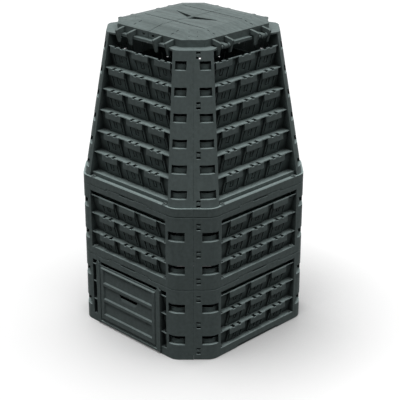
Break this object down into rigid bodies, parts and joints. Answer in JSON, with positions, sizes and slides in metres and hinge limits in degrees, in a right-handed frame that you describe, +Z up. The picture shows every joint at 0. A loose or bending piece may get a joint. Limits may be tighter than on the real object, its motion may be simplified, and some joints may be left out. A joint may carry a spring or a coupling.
{
  "type": "compost bin",
  "caption": "Stacked louvred garden compost bin with vented corner posts, a sliding access door at the foot and a split hinged lid.",
  "frame": {"origin": "on the floor, in the middle of the bin's plan including its door guides", "axes": "+Z up, -Y out of the door face, +X to the right of someone who faces the door"},
  "size_m": [0.8, 0.811, 1.3773],
  "materials": {
    "body_plastic": "moulded, fine matte grain",
    "door_plastic": "moulded, fine matte grain",
    "lid_plastic": "moulded, fine matte grain",
    "pin_plastic": "moulded, fine matte grain",
    "peg_plastic": "moulded, fine matte grain"
  },
  "bodies": {
    "bin": {"base_panel_front": "body_plastic", "base_panel_right": "body_plastic", "base_panel_back": "body_plastic", "base_panel_left": "body_plastic", "middle_panel_front": "body_plastic", "middle_panel_right": "body_plastic", "middle_panel_back": "body_plastic", "middle_panel_left": "body_plastic", "upper_panel_front": "body_plastic", "upper_panel_right": "body_plastic", "upper_panel_back": "body_plastic", "upper_panel_left": "body_plastic", "middle_tier_pegs": "peg_plastic", "upper_tier_pegs": "peg_plastic", "hinge_pin_right_front": "pin_plastic", "hinge_pin_right_back": "pin_plastic", "hinge_pin_left_front": "pin_plastic", "hinge_pin_left_back": "pin_plastic"},
    "door": {"access_door": "door_plastic"},
    "lid_right": {"lid_flap_right": "lid_plastic"},
    "lid_left": {"lid_flap_left": "lid_plastic"}
  },
  "joints": [
    {"name": "door_slide", "type": "slide", "parent": "bin", "child": "door", "axis": [0, 0, 1], "range_m": [0, 0.25]},
    {"name": "lid_right_hinge", "type": "hinge", "parent": "bin", "child": "lid_right", "pos_m": [0.29, 0.0055, 1.326], "axis": [0, 1, 0], "range_deg": [0, 110]},
    {"name": "lid_left_hinge", "type": "hinge", "parent": "bin", "child": "lid_left", "pos_m": [-0.29, 0.0055, 1.326], "axis": [0, -1, 0], "range_deg": [0, 110]}
  ]
}
